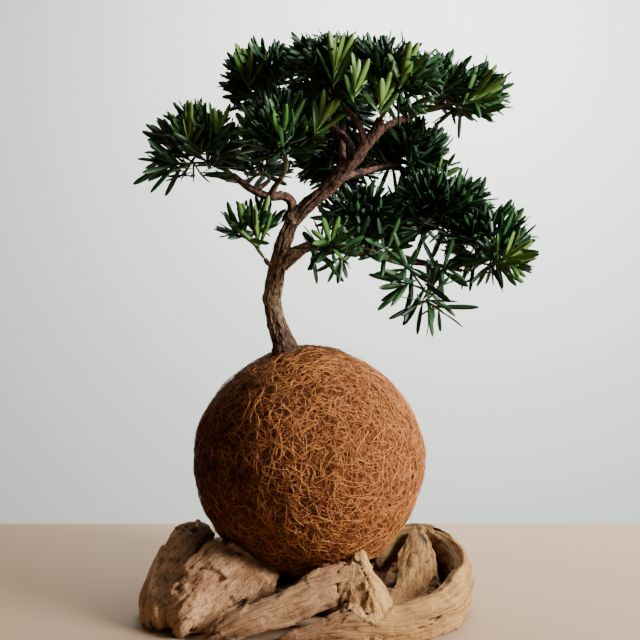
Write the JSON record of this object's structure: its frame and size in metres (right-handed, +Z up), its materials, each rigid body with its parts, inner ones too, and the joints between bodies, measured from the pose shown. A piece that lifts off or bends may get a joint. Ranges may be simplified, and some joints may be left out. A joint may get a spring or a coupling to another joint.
{
  "type": "podocarpus bonsai on a coir root ball and driftwood",
  "caption": "Podocarpus bonsai with a leaning, forked trunk and open tiers of narrow dark leaves, its roots in a round coir ball seated on a hollowed piece of pale driftwood.",
  "frame": {"origin": "on the driftwood's flat underside, straight below the middle of the coir ball", "axes": "+Z up, +X to the right as seen from the front, +Y away from the front"},
  "size_m": [0.3041, 0.1949, 0.4432],
  "materials": {
    "driftwood": "weathered bare wood, matt, grained and cracked",
    "coir": "matt matted coir fibre",
    "bark": "matt flaking bark",
    "leaf": "satin, leathery leaf"
  },
  "bodies": {
    "root": {"driftwood": "driftwood", "coir_ball": "coir", "trunk": "bark", "bough_left_rise": "bark", "bough_left_reach": "bark", "bough_left_front": "bark", "bough_left_back": "bark", "sprig_limb": "bark", "bough_upper_left": "bark", "bough_upper_back": "bark", "bough_back": "bark", "bough_top_left": "bark", "bough_top_right": "bark", "bough_middle_right": "bark", "bough_right": "bark", "bough_inner": "bark", "bough_rosette": "bark", "bough_right_rise": "bark", "bough_right_back": "bark", "bough_hanging": "bark", "foliage_left_end": "leaf", "foliage_left_front": "leaf", "foliage_left_back": "leaf", "foliage_sprig": "leaf", "foliage_upper_left": "leaf", "foliage_upper_back": "leaf", "foliage_back": "leaf", "foliage_top_left": "leaf", "foliage_top": "leaf", "foliage_top_right": "leaf", "foliage_middle_right": "leaf", "foliage_inner": "leaf", "foliage_rosette": "leaf", "foliage_right": "leaf", "foliage_right_back": "leaf", "foliage_right_end": "leaf", "foliage_hanging": "leaf"}
  },
  "joints": []
}
